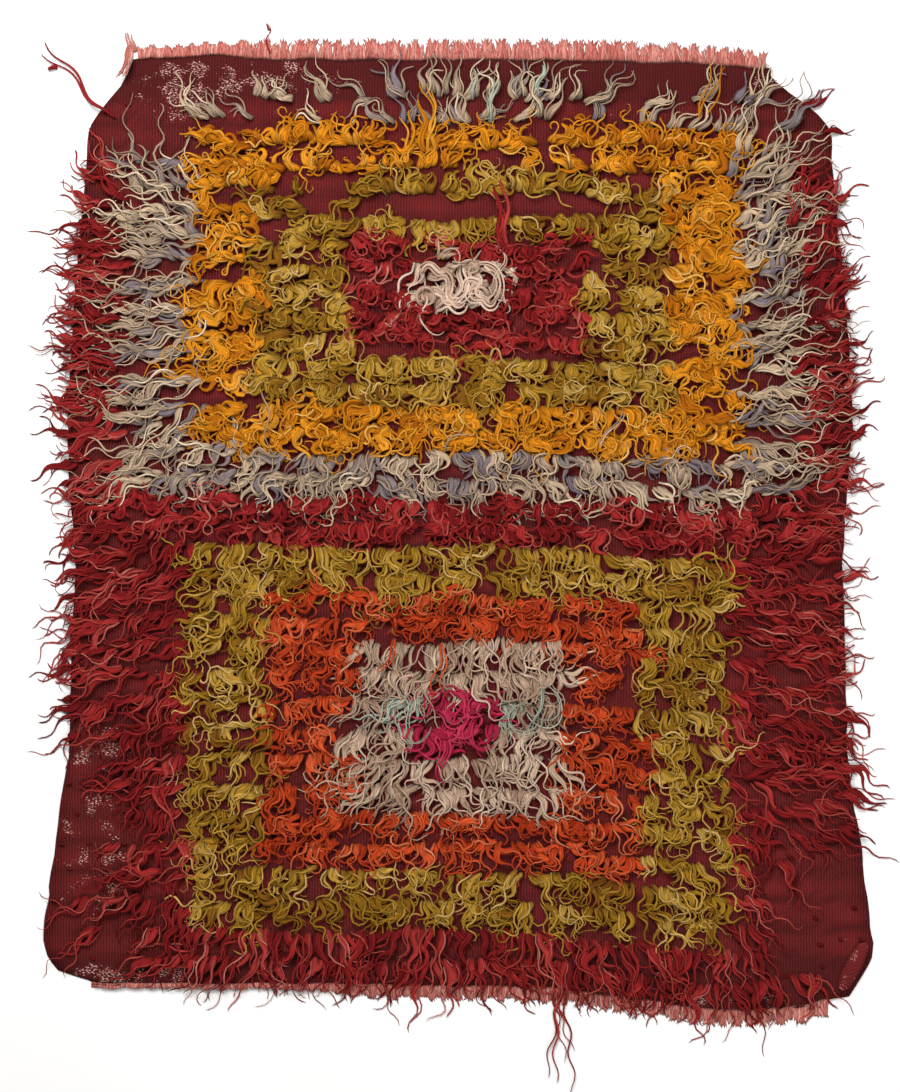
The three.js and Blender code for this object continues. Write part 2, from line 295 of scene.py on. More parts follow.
# %% Bare and worn patches
BARE_PATCHES = [
    # x, y, half across, half along, pile left
    (-470, 640, 150, 100, 0.0),
    (-250, 640, 90, 20, 0.45),
    (40, 640, 360, 20, 0.62),
    (-190, 607, 130, 20, 0.35),
    (190, 607, 200, 20, 0.35),
    (500, 610, 100, 110, 0.22),
    (80, 541, 74, 20, 0.08),
    (-215, 508, 50, 18, 0.40),
    (-560, -395, 105, 215, 0.05),
    (-510, -560, 130, 70, 0.14),
    (540, -500, 130, 150, 0.07),
    (528, -60, 36, 170, 0.45),
]
WORN_PATCHES = [
    # x, y, half across, half along, cloth left
    (-380, 650, 90, 50, 0.15),
    (-250, 672, 120, 30, 0.35),
    (-500, -262, 60, 50, 0.2),
    (-500, -420, 70, 110, 0.35),
    (-450, -588, 120, 22, 0.1),
    (330, -625, 160, 20, 0.3),
    (470, 650, 90, 40, 0.5),
]


def share_left(patches, x, y):
    """Share that is left at a place: 1 away from all patches, and each patch's own share in it."""
    share = np.ones_like(x)
    for px, py, across, along, left in patches:
        away = np.hypot((x - px) / across, (y - py) / along)
        share = share * (left + (1 - left) * smooth((away - 0.6) / 0.6))
    return share


print(len(BARE_PATCHES), "patches short of pile,", len(WORN_PATCHES), "worn patches")

# %% Ground weave
GROUND_CELLS = (44, 120)
RIPPLE = 0.45
BUCKLE = {"across": 47.0, "along": 83.0, "bend": 1.3}
SELVEDGE = {"width": 6.0, "top": 1.4, "under": 1.2, "sink": 1.0}
UV_REACH = np.array([1200.0, 1500.0])


def cloth_place(u, v):
    """The place at share u across the cloth and share v along it: straight between the two side
    edges, then moved along with the two uneven ends."""
    bottom, top = bottom_edge(0.0), top_edge(0.0)
    straight = bottom + v * (top - bottom)
    x = left_edge(straight) + u * (right_edge(straight) - left_edge(straight))
    return x, bottom_edge(x) + v * (top_edge(x) - bottom_edge(x))


def ground_weave(material):
    """Rings of points round the flat oval, one ring for each step along the warp, closed by a row
    of faces at each end. The top of a ring runs left to right and its underside back again."""
    across, along = GROUND_CELLS
    u = np.linspace(0, 1, across + 1)
    v = np.linspace(0, 1, along + 1)
    u_grid, v_grid = np.meshgrid(u, v)
    x, y = cloth_place(u_grid, v_grid)
    to_side = np.minimum(u_grid, 1 - u_grid) * (right_edge(y) - left_edge(y))
    swell = smooth(to_side / SELVEDGE["width"])
    rows = RIPPLE * np.cos(2 * np.pi * np.interp(y, row_y, np.arange(len(row_y))))
    wave = RIPPLE * np.sin(x / BUCKLE["across"] + BUCKLE["bend"] * np.sin(y / BUCKLE["along"]))
    face = SELVEDGE["top"] + (WEAVE - SELVEDGE["top"]) * swell + (rows + wave) * swell
    top = np.stack([x, y, face], -1)
    under = np.stack([x, y, SELVEDGE["under"] - SELVEDGE["sink"] * swell], -1)
    rings = np.concatenate([top, under[:, ::-1]], 1)
    ring = rings.shape[1]
    i, j = np.meshgrid(np.arange(ring), np.arange(along))
    a, b = j * ring + i, j * ring + (i + 1) % ring
    bands = np.stack([a, b, b + ring, a + ring], -1).reshape(-1, 4)
    k = np.arange(across)
    start = np.stack([k, ring - 1 - k, ring - 2 - k, k + 1], -1)
    end = start[:, ::-1] + along * ring
    points = rings.reshape(-1, 3)
    uv = points[:, :2] / UV_REACH + 0.5
    piece = make_piece("ground_weave", points, [bands, start, end], uv, material, "ground_weave")
    mark(piece, "worn", 1 - share_left(WORN_PATCHES, points[:, 0], points[:, 1]))
    row = np.interp(points[:, 1], row_y, np.arange(len(row_y)))
    # Painted shade along each row of knots, where the pile shades the cloth
    mark(piece, "row_shade", (0.5 + 0.5 * np.cos(2 * np.pi * row)) ** 3)
    return piece


def mark(piece, name, values):
    """Stores one number for each vertex under a name that a material can read."""
    attribute = piece.data.attributes.new(name, "FLOAT", "POINT")
    attribute.data.foreach_set("value", values.astype(np.float32))


# %% [markdown]
# ## Weft-faced wool
# Dark weft is beaten down so hard that it hides the warps, which show only as soft ribs. The eye
# reads matt wool, fine grain and painted shade along each row of knots, where the pile shades the
# cloth. Where the cloth is worn, the pale warp looks through in short slanting dashes.

# %% Weave material
WARP_SPACING = 4.0
WAVES_TO_SCALE = 20.0
WEFT_CELLS = (420.0, 700.0, 1.0)
DASH_CELLS = (300.0, 640.0, 1.0)
DASH_SLANT = 0.45
RIB_COLOUR = "#8c2826"
# Painted shade along each row of knots
ROW_SHADE_COLOUR = "#2c0304"
WARP_COLOUR = "#cfa096"
FACE_DYES = [(0.32, "#360507"), (0.5, "#460709"), (0.68, "#580d0f")]


def weave_material(name, dyes, lean):
    """Weft-faced wool: dark weft packed over the warps, which show as ribs, with painted shade along
    the rows of knots, and a grain of about 2.4 by 1.4 mm. Worn cloth has pale dashes of about 3 by
    1.5 mm. `lean` turns the ribs from upright, for cloth that is folded over."""
    material, tree, shader = new_material(name)
    object_place = add_node(tree, "ShaderNodeTexCoord").outputs["Object"]
    place = add_node(tree, "ShaderNodeMapping", {
        "Vector": object_place, "Rotation": (0.0, 0.0, lean)})
    warp_scale = 2 * np.pi / (WAVES_TO_SCALE * WARP_SPACING * MM)
    rib = add_node(tree, "ShaderNodeTexWave", {
        "Vector": place.outputs["Vector"], "Scale": warp_scale, "Distortion": 2.4,
        "Detail": 2.0, "Detail Scale": 1.2}, bands_direction="X", wave_profile="SIN")
    weft = add_node(tree, "ShaderNodeTexNoise", {
        "Vector": add_node(tree, "ShaderNodeMapping", {
            "Vector": place.outputs["Vector"], "Scale": WEFT_CELLS}).outputs["Vector"],
        "Scale": 1.0, "Detail": 2.0})
    patchy = add_node(tree, "ShaderNodeTexNoise", {
        "Vector": place.outputs["Vector"], "Scale": 14.0, "Detail": 4.0})
    dye = add_node(tree, "ShaderNodeValToRGB", {"Fac": patchy.outputs["Fac"]})
    set_ramp(dye, dyes)
    ribs = add_math(tree, "MULTIPLY_ADD", rib.outputs["Fac"], 0.35, weft.outputs["Fac"])
    lit = add_node(tree, "ShaderNodeMapRange", {
        "Value": ribs, "From Min": 0.5, "From Max": 1.0, "To Max": 0.62})
    ribbed = add_node(tree, "ShaderNodeMix", {
        "Factor": lit.outputs[0], 6: dye.outputs["Color"], 7: linear(RIB_COLOUR)}, data_type="RGBA")
    # Painted shade: darker along each row of knots, patchy by the noise
    row_shade = add_node(tree, "ShaderNodeAttribute", attribute_name="row_shade")
    uneven = add_math(tree, "MULTIPLY", row_shade.outputs["Fac"], patchy.outputs["Fac"])
    shaded = add_node(tree, "ShaderNodeMix", {
        "Factor": uneven, 6: ribbed.outputs[2], 7: linear(ROW_SHADE_COLOUR)}, data_type="RGBA")
    worn = add_node(tree, "ShaderNodeAttribute", attribute_name="worn")
    cluster = add_node(tree, "ShaderNodeTexNoise", {
        "Vector": place.outputs["Vector"], "Scale": 34.0, "Detail": 3.0})
    shown = add_math(tree, "MULTIPLY_ADD", worn.outputs["Fac"], 0.3, cluster.outputs["Fac"])
    open_weave = add_node(tree, "ShaderNodeMapRange", {
        "Value": shown, "From Min": 0.62, "From Max": 0.8,
        "To Min": -0.2, "To Max": 0.1})
    dash = add_node(tree, "ShaderNodeTexNoise", {
        "Vector": add_node(tree, "ShaderNodeMapping", {
            "Vector": place.outputs["Vector"], "Rotation": (0.0, 0.0, DASH_SLANT),
            "Scale": DASH_CELLS}).outputs["Vector"],
        "Scale": 1.0, "Detail": 1.0})
    speck = add_math(tree, "ADD", dash.outputs["Fac"], open_weave.outputs[0])
    specks = add_node(tree, "ShaderNodeMapRange", {
        "Value": speck, "From Min": 0.63, "From Max": 0.72})
    final = add_node(tree, "ShaderNodeMix", {
        "Factor": specks.outputs[0], 6: shaded.outputs[2], 7: linear(WARP_COLOUR)}, data_type="RGBA")
    height = add_math(tree, "ADD", rib.outputs["Fac"], weft.outputs["Fac"])
    bump = add_node(tree, "ShaderNodeBump", {
        "Height": height, "Strength": 0.8, "Distance": 0.0005})
    tree.links.new(final.outputs[2], shader.inputs["Base Color"])
    tree.links.new(bump.outputs["Normal"], shader.inputs["Normal"])
    return material


ground = ground_weave(weave_material("weft_faced_wool", FACE_DYES, 0.0))

# %% [markdown]
# ## Where the knots are, and their colours
# A weaver counts knots along each row and changes wool where the design says so. The design is two
# panels of rectangles one inside the other. Each row of this table is one field of colour, and a
# later row lies on top of the earlier ones. The last columns say how the wool behaves there: how
# long its locks are, how much they wave and how tightly they curl.

# %% Fields of the design
FIELDS = [
    # name, wool, left, right, low, high, length, wave, curl, scatter, kind
    ("pile_red_left", "red", -700, -360, -700, 800, 90, 0.70, 0.005, 0.26, "long"),
    ("pile_red_right", "red", 360, 700, -700, 800, 88, 0.70, 0.005, 0.26, "long"),
    ("pile_red_bottom", "red", -360, 360, -700, -500, 98, 0.65, 0.005, 0.26, "long"),
    ("pile_red_middle", "red", -470, 470, 31, 97, 66, 1.40, 0.012, 0.45, "curly"),
    ("pile_grey_upper", "grey", -452, 462, 97, 700, 118, 0.74, 0.003, 0.24, "flowing"),
    ("pile_grey_top", "grey", -340, 420, 590, 700, 66, 0.75, 0.006, 0.32, "long"),
    ("pile_grey_middle", "grey", -400, 410, 97, 163, 80, 1.05, 0.010, 0.45, "hanging"),
    ("pile_gold", "gold", -352, 372, 163, 590, 92, 1.50, 0.010, 0.45, "curly"),
    ("pile_gold_top", "gold", -352, 330, 525, 590, 64, 1.35, 0.016, 0.60, "curly"),
    ("pile_olive_upper", "olive", -268, 278, 229, 525, 80, 1.60, 0.012, 0.45, "curly"),
    ("pile_olive_top", "olive", -230, 240, 459, 525, 64, 1.60, 0.014, 0.60, "curly"),
    ("pile_red_centre", "red", -152, 178, 294, 459, 60, 1.70, 0.016, 1.20, "dense"),
    ("pile_ivory", "ivory", -56, 64, 360, 425, 52, 1.30, 0.020, 0.60, "dense"),
    ("pile_olive_lower", "olive", -366, 372, -500, 31, 86, 1.20, 0.008, 0.42, "hanging"),
    ("pile_orange", "orange", -266, 254, -419, -34, 74, 1.45, 0.012, 0.45, "hanging"),
    ("pile_grey_lower", "beige", -142, 146, -338, -100, 92, 0.90, 0.008, 0.28, "hanging"),
    ("pile_aqua", "aqua", -78, 92, -218, -177, 80, 1.00, 0.020, 0.40, "hanging"),
    ("pile_magenta", "magenta", -50, 60, -258, -177, 70, 1.30, 0.022, 0.50, "dense"),
]
KINDS = {
    # locks a knot, their width, width of the tail, share of the length, strands beside them, their
    # width, how far they part from the lock, hook at the tip, steps of a lock and of a strand
    "long": {"locks": 2, "wide": 11.5, "tail": 0.20, "share": (0.60, 1.0),
             "strands": 2, "thin": 2.8, "parting": 0.16, "hook": 1.2, "steps": (15, 14)},
    "flowing": {"locks": 2, "wide": 11.0, "tail": 0.22, "share": (0.40, 0.72),
                "strands": 2, "thin": 2.8, "parting": 0.16, "hook": 1.4, "steps": (16, 18)},
    "hanging": {"locks": 3, "wide": 9.6, "tail": 0.28, "share": (0.55, 0.95),
                "strands": 2, "thin": 3.2, "parting": 0.28, "hook": 2.6, "steps": (15, 16)},
    "curly": {"locks": 3, "wide": 12.5, "tail": 0.32, "share": (0.55, 1.0),
              "strands": 2, "thin": 3.4, "parting": 0.36, "hook": 3.2, "steps": (16, 18)},
    "dense": {"locks": 3, "wide": 12.5, "tail": 0.36, "share": (0.50, 0.92),
              "strands": 2, "thin": 3.8, "parting": 0.50, "hook": 4.0, "steps": (16, 17)},
}
print(len(FIELDS), "fields of colour,", len(KINDS), "kinds of pile")

# %% Places of the knots
KNOTS_ACROSS = 62
KNOT_JITTER = 0.22
LAST_WARP = 0.008
ROW_BOW = {"height": 3.5, "length": 61.0, "shift": 1.7, "jitter": 1.5}
RED_BORDERS = 3
STUB_SHARE = 0.3
STUB_TINT = (0.0, 0.2)

row, column = np.meshgrid(np.arange(len(row_y)), np.arange(KNOTS_ACROSS), indexing="ij")
u = (column + 0.5 + KNOT_JITTER * rng.standard_normal(row.shape)) / KNOTS_ACROSS
straight_y = row_y[row]
v = (straight_y - bottom_edge(0.0)) / (top_edge(0.0) - bottom_edge(0.0))
knot_x, knot_y = cloth_place(np.clip(u, LAST_WARP, 1 - LAST_WARP), v)
bow = ROW_BOW["height"] * np.sin(knot_x / ROW_BOW["length"] + ROW_BOW["shift"] * row)
knot_y = knot_y + bow + ROW_BOW["jitter"] * rng.standard_normal(row.shape)

field = np.zeros(row.shape, int)
for index, (_, _, left, right, low, high, *_) in enumerate(FIELDS):
    inside = (knot_x > left) & (knot_x < right) & (straight_y > low) & (straight_y < high)
    field[inside] = index
kept = rng.random(row.shape) < share_left(BARE_PATCHES, knot_x, knot_y)
knots = {"x": knot_x[kept], "y": knot_y[kept], "field": field[kept]}
stub = ~kept & (field < RED_BORDERS) & (rng.random(row.shape) < STUB_SHARE)
stubs = {"x": knot_x[stub], "y": knot_y[stub], "field": field[stub],
         "tint": rng.uniform(*STUB_TINT, stub.sum())}
print(len(knots["x"]), "knots of", row.size, "and", stub.sum(), "worn stubs")

# %% [markdown]
# ## How the locks lie
# Long wool falls the way it was last shaken: outwards at the sides and ends, and down the rug in
# the middle. The heading of a lock is the direction away from a parting, with a pull down the rug
# near the middle line. Every lock differs a little from its neighbours.

# %% Heading and form of each lock
PARTING = {"x": 8, "height": 70, "slant": 90, "over": 200, "spread": 0.8}
SETTLE = {"pull": 700, "width": 330, "below": 530, "fade": 60}
NEIGHBOURS = 0.3
FORM = {"uneven": 0.2, "length": (0.55, 1.5), "wave": (0.65, 1.3), "wave_length": (36, 52),
        "wave_stretch": 7, "lift": (4, 13), "edge": 50, "edge_lift": 0.35, "tint": (0.06, 0.94)}


def combed(x, y):
    """Angle away from a parting that lies higher on the left than on the right, with a downward
    pull that fades towards the sides and the top end."""
    parting = PARTING["height"] - PARTING["slant"] * np.tanh(x / PARTING["over"])
    fade = smooth((SETTLE["below"] - y) / SETTLE["fade"])
    settle = SETTLE["pull"] * np.exp(-((x / SETTLE["width"]) ** 2)) * fade
    return np.arctan2(PARTING["spread"] * (y - parting) - settle, x - PARTING["x"])


def drift(x, y):
    """A slow unevenness, between about -1 and 1, that neighbouring locks share."""
    return (np.sin(x / 37 + 2.1 * np.sin(y / 53)) + np.sin(y / 29 + 1.7 * np.sin(x / 71))) / 2


count = len(knots["x"])
length, wave, curl, scatter = np.array([entry[6:10] for entry in FIELDS])[knots["field"]].T
stray = NEIGHBOURS * drift(knots["x"], knots["y"]) + scatter * rng.standard_normal(count)
knots["heading"] = combed(knots["x"], knots["y"]) + stray
uneven = np.clip(1 + FORM["uneven"] * rng.standard_normal(count), *FORM["length"])
knots["length"] = length * uneven
knots["wave"] = wave * rng.uniform(*FORM["wave"], count)
knots["curl"] = curl * rng.standard_normal(count)
knots["wave_length"] = rng.uniform(*FORM["wave_length"], count) + FORM["wave_stretch"] * wave
knots["phase"] = rng.uniform(0, 2 * np.pi, count)
lower = np.clip(inset(knots["x"], knots["y"]) / FORM["edge"], FORM["edge_lift"], 1)
knots["lift"] = rng.uniform(*FORM["lift"], count) * lower
knots["tint"] = rng.uniform(*FORM["tint"], count)
print("locks of", round(knots["length"].min()), "to", round(knots["length"].max()), "mm")

# %% [markdown]
# ## Strands
# Each strand is a tube: a path on the cloth with a small ring of points carried along it, pointed
# at both ends. All strands of a kind are worked out together, as one array of strands by steps.

# %% Paths and tubes
PATH = {"wave_in": 25, "seat_in": 15, "droop": 16, "bob": 2.2, "bob_length": 29}
ACROSS_COLUMN = 0.48


def strand_paths(made, length, lift, thick, steps, crest=0.3, gather=0.35):
    """Heading along a strand: its first heading, a sine that grows in over the first 25 mm, a
    steady curl and a hook at the tip. Places are the running sum of short steps along that
    heading, moved aside to the strand's own seat in its lock, which draws together to the share
    `gather` at the tip. Height: quickly up from the knot to its crest, slowly down to the tip, and
    down to the floor past the edge of the cloth."""
    s = np.linspace(0, 1, steps)
    col = {key: value[:, None] for key, value in made.items()}
    way = s * length[:, None]
    sine = np.sin(2 * np.pi * way / col["wave_length"] + col["phase"])
    turn = col["heading"] + col["wave"] * np.clip(way / PATH["wave_in"], 0, 1) * sine
    turn = turn + col["curl"] * way + col["hook"] * s ** 3
    step = length[:, None] / (steps - 1)
    middle = (turn[:, 1:] + turn[:, :-1]) / 2
    start = np.zeros((len(length), 1))
    spread = 0.6 + 0.4 * smooth(way / PATH["seat_in"])
    aside = col["seat"] * spread * (1 - (1 - gather) * smooth((s - 0.25) / 0.5))
    px = col["x"] + np.concatenate([start, np.cumsum(np.cos(middle) * step, 1)], 1)
    py = col["y"] + np.concatenate([start, np.cumsum(np.sin(middle) * step, 1)], 1)
    px = px - np.sin(turn) * aside
    py = py + np.cos(turn) * aside
    on_cloth = smooth(inset(px, py) / PATH["droop"] + 1)
    rise = lift[:, None] * (s / crest) * np.exp(1 - s / crest) * (0.2 + 0.8 * on_cloth)
    bob = PATH["bob"] * np.sin(2 * np.pi * way / PATH["bob_length"] + 3 * col["phase"])
    pz = WEAVE * on_cloth + rise + np.abs(bob * on_cloth * s) + thick[:, None] / 2
    return np.stack([px, py, pz], -1), turn


def tubes(path, turn, width, thick, roll, tint, sides):
    """A ring of `sides` points round each step of each path: out by half the width to the left and
    right, and by half the thickness up and down, turned by `roll`. The first and last step are the
    two pointed ends. Returns points, faces and UVs."""
    strands, steps = turn.shape
    rings = steps - 2
    angle = 2 * np.pi * np.arange(sides) / sides + np.pi / 2
    across = (width / 2)[:, 1:-1, None] * np.cos(angle)
    up = (thick / 2)[:, 1:-1, None] * np.sin(angle)
    lean = roll[:, 1:-1, None]
    aside = across * np.cos(lean) - up * np.sin(lean)
    above = across * np.sin(lean) + up * np.cos(lean)
    way = turn[:, 1:-1, None]
    offset = np.stack([-np.sin(way) * aside, np.cos(way) * aside, above], -1)
    ring_points = (path[:, 1:-1, None, :] + offset).reshape(strands, rings * sides, 3)
    points = np.concatenate([path[:, :1], ring_points, path[:, -1:]], 1)
    s = np.linspace(0, 1, steps)
    side = np.concatenate([[0], np.tile(ACROSS_COLUMN * np.cos(angle), rings), [0]])
    column = np.floor(COLUMNS * tint)[:, None]
    tint_uv = np.broadcast_to((column + 0.5 + side) / COLUMNS, points.shape[:2])
    along_uv = np.concatenate([[0], np.repeat(s[1:-1], sides), [1]])
    uv = np.stack([tint_uv, np.broadcast_to(along_uv, tint_uv.shape)], -1)
    return points, tube_faces(strands, rings, sides), uv


def tube_faces(strands, rings, sides):
    """Quads between neighbouring rings, and triangles from the first and last ring to the ends."""
    k = np.arange(sides)
    after = (k + 1) % sides
    base = 1 + np.arange(rings - 1)[:, None] * sides
    quads = np.stack([base + k, base + after, base + sides + after, base + sides + k], -1)
    last = 1 + (rings - 1) * sides
    tip = np.full(sides, last + sides)
    ends = np.concatenate([np.stack([0 * k, 1 + after, 1 + k], -1),
                           np.stack([last + k, last + after, tip], -1)])
    first = np.arange(strands)[:, None, None] * (rings * sides + 2)
    quads = (quads.reshape(1, -1, 4) + first).reshape(-1, 4)
    return quads, (ends[None] + first).reshape(-1, 3)


def join(parts):
    """Several sets of tubes as one: points and UVs end to end, faces counted on."""
    points, quads, ends, uvs, done = [], [], [], [], 0
    for part_points, (part_quads, part_ends), part_uv in parts:
        points.append(part_points.reshape(-1, 3))
        uvs.append(part_uv.reshape(-1, 2))
        quads.append(part_quads + done)
        ends.append(part_ends + done)
        done += points[-1].shape[0]
    faces = [np.concatenate(quads), np.concatenate(ends)]
    return np.concatenate(points), faces, np.concatenate(uvs)


# %% [markdown]
# ## Locks, strands and knots
# The wool of a knot leaves the cloth in two or three legs. Each is a soft flat lock at first and is
# drawn out to a thin tail. Finer strands part from the locks and curl up on their own, more or less
# so from one colour to another. Locks take the darker tints as painted shade, and strands the paler
# ones as painted highlight.

# %% Locks and strands of a set of knots
KNOT_WIDTH = 11.0
LEG_PARTING = 0.24
SEAT_OF_STRAND = np.array([-1.0, 1.0])
FLATNESS = 0.3
ROUNDNESS = 0.78
# Locks take the darker part of each row of colours as painted shade, strands the paler part as
# painted highlight
LOCK = {"size": (0.65, 1.2), "drawn_from": (0.1, 0.3), "swell": 0.16, "roll": 0.22,
        "tint": (0.04, 0.68)}
STRAND = {"share": (0.6, 1.2), "size": (0.7, 1.3), "lift": (1.0, 1.6), "seat": 0.4, "swell": 0.2,
          "hook": (0.1, 1.2), "tint": (0.36, 0.58)}
BAR = {"length": 11.0, "width": 4.8, "thick": 3.8, "arch": 2.2, "seat": 1.5, "steps": 5}
OVERHANG = {"side": 46.0, "bottom": 92.0}


def vary(values, parting):
    """The same strands, each a little off in its place, heading, wave, curl and tint."""
    total = len(values["x"])
    made = dict(values)
    made["y"] = values["y"] + 1.5 * rng.standard_normal(total)
    made["heading"] = values["heading"] + parting * rng.standard_normal(total)
    made["phase"] = values["phase"] + 2.5 * parting * rng.standard_normal(total)
    stretch = rng.uniform(1 - parting / 2, 1 + parting / 2, total)
    made["wave_length"] = values["wave_length"] * stretch
    made["curl"] = values["curl"] * rng.uniform(0.6, 1.4, total)
    made["tint"] = np.clip(values["tint"] + 0.07 * rng.standard_normal(total), 0.03, 0.97)
    return made


def room(made):
    """The most length a strand may have: to the edge of the cloth and a little way over it."""
    below = smooth(-np.sin(made["heading"]) * 2)
    hang = OVERHANG["side"] + (OVERHANG["bottom"] - OVERHANG["side"]) * below
    over = hang * rng.uniform(0.05, 1, len(made["x"])) ** 1.7
    return 1.12 * (np.maximum(inset(made["x"], made["y"]), 0) + over) + 6


def legs(knot, each):
    """The legs of each knot, side by side along the row."""
    made = vary({key: np.repeat(value, each) for key, value in knot.items()}, LEG_PARTING)
    made["x"] = made["x"] + np.tile(np.linspace(-0.5, 0.5, each) * KNOT_WIDTH, len(knot["x"]))
    made["seat"] = np.zeros(len(made["x"]))
    made["hook"] = np.zeros(len(made["x"]))
    return made


def locks(leg, kind):
    """One soft flat tube a leg: at once nearly as wide as it gets, then drawn out to its tail."""
    total = len(leg["x"])
    steps = kind["steps"][0]
    length = np.minimum(leg["length"] * rng.uniform(*kind["share"], total), room(leg))
    wide = kind["wide"] * rng.uniform(*LOCK["size"], total)
    path, turn = strand_paths(leg, length, leg["lift"], FLATNESS * wide, steps)
    s = np.linspace(0, 1, steps)
    drawn = smooth((s - rng.uniform(*LOCK["drawn_from"], (total, 1))) / 0.5)
    full = smooth(s / 0.14 + 0.5) * (1 - (1 - kind["tail"]) * drawn)
    full = full * (1 + LOCK["swell"] * np.sin(8 * s + rng.uniform(0, 6.3, (total, 1))))
    width = wide[:, None] * full
    roll = LOCK["roll"] * np.sin(5 * s + rng.uniform(0, 6.3, (total, 1)))
    # Painted shade: locks take the darker part of the row of colours
    tint = LOCK["tint"][0] + LOCK["tint"][1] * leg["tint"]
    return tubes(path, turn, width, FLATNESS * width, roll, tint, 3)


def strands(leg, kind):
    """Strands beside the locks of each knot: uneven as hand-spun yarn is, with curled tips."""
    each, steps = kind["strands"], kind["steps"][1]
    count = len(leg["x"]) // kind["locks"]
    picks = (kind["locks"] * np.arange(count)[:, None] + np.arange(each) % kind["locks"]).ravel()
    made = vary({key: value[picks] for key, value in leg.items()}, kind["parting"])
    total = len(picks)
    made["seat"] = STRAND["seat"] * kind["wide"] * np.tile(SEAT_OF_STRAND[:each], count)
    made["hook"] = kind["hook"] * rng.uniform(*STRAND["hook"], total) * rng.choice([-1, 1], total)
    length = np.minimum(made["length"] * rng.uniform(*STRAND["share"], total), room(made))
    size = kind["thin"] * rng.uniform(*STRAND["size"], total)
    lift = made["lift"] * rng.uniform(*STRAND["lift"], total) + 2
    path, turn = strand_paths(made, length, lift, ROUNDNESS * size, steps)
    s = np.linspace(0, 1, steps)
    swell = 1 + STRAND["swell"] * np.sin(9 * s + rng.uniform(0, 6.3, (total, 1)))
    width = size[:, None] * ((1 - 0.55 * s ** 1.6) * swell)
    # Painted highlight: strands take the paler part of the row of colours
    tint = STRAND["tint"][0] + STRAND["tint"][1] * made["tint"]
    return tubes(path, turn, width, ROUNDNESS * width, np.zeros(turn.shape), tint, 3)


def knot_bars(knot):
    """What is left of a worn knot: a short bar across the warps, a little arched."""
    total = len(knot["x"])
    s = np.linspace(0, 1, BAR["steps"])
    lean = 0.12 * rng.standard_normal(total)
    half = BAR["length"] / 2 * rng.uniform(0.7, 1.2, total)
    reach = half[:, None] * (2 * s - 1)
    arch = BAR["arch"] * (1 - (2 * s - 1) ** 2)
    path = np.stack([knot["x"][:, None] + reach * np.cos(lean)[:, None],
                     knot["y"][:, None] + reach * np.sin(lean)[:, None],
                     np.broadcast_to(WEAVE + BAR["seat"] + arch, reach.shape)], -1)
    turn = np.broadcast_to(lean[:, None], reach.shape)
    full = (1 - np.abs(2 * s - 1) ** 3) ** 0.5 + 0.01
    width = np.broadcast_to(BAR["width"] * full, reach.shape)
    thick = np.broadcast_to(BAR["thick"] * full, reach.shape)
    return tubes(path, turn, width, thick, np.zeros(reach.shape), knot["tint"], 3)


# %% [markdown]
# ## Dyed wool
# Hand-spun wool is matt and soft. Its fibres lie along the strand, so light and colour change in
# fine lengthwise streaks. Dye takes unevenly, so each lock has a tint of its own, picked along a
# short row of colours by the U of its UV map. Painted shade darkens each strand at its root, where
# the pile shades it, and along both sides, where neighbouring strands shade it.

# %% Wool material
STREAK_CELLS = (170.0, 2.5, 1.0)
# Painted shade along both sides of each strand, for the shade that falls between strands
FLANK_SHADE = {"from": 0.24, "to": 0.42, "shade": 0.34}
# Painted shade at the root of each strand, where the pile round the knot shades it
ROOT_SHADE = {"reach": 0.25, "shade": 0.7}
SHEEN = {"weight": 0.12, "roughness": 0.45, "specular": 0.08}
DYES = {
    "red": [(0.0, "#500a0d"), (0.3, "#771618"), (0.6, "#9a2625"), (0.85, "#b24a42"),
            (1.0, "#cc8474")],
    "gold": [(0.0, "#934a06"), (0.3, "#b66a0c"), (0.6, "#d28418"), (0.85, "#de9c38"),
             (1.0, "#eabb70")],
    "olive": [(0.0, "#6a3c12"), (0.25, "#825812"), (0.5, "#a07822"), (0.75, "#c09644"),
              (1.0, "#dab67a")],
    "grey": [(0.0, "#685d68"), (0.2, "#807272"), (0.4, "#98826e"), (0.7, "#c8ac8c"),
             (1.0, "#eedabe")],
    "beige": [(0.0, "#8c6c5a"), (0.3, "#a68872"), (0.6, "#c2a38a"), (1.0, "#e8cfb6")],
    "orange": [(0.0, "#84220d"), (0.3, "#a63415"), (0.6, "#c44620"), (0.85, "#d0623a"),
               (1.0, "#dc8e68")],
    "magenta": [(0.0, "#861830"), (0.4, "#ae2242"), (0.8, "#c63c58"), (1.0, "#d66478")],
    "ivory": [(0.0, "#92745f"), (0.4, "#bc9c84"), (0.8, "#dec1ac"), (1.0, "#f0dac8")],
    "aqua": [(0.0, "#7c8478"), (0.4, "#98a08e"), (0.8, "#b8beaa"), (1.0, "#d6d8c6")],
    "salmon": [(0.0, "#a9524a"), (0.4, "#bf6b60"), (0.8, "#ce877b"), (1.0, "#deaa9c")],
}


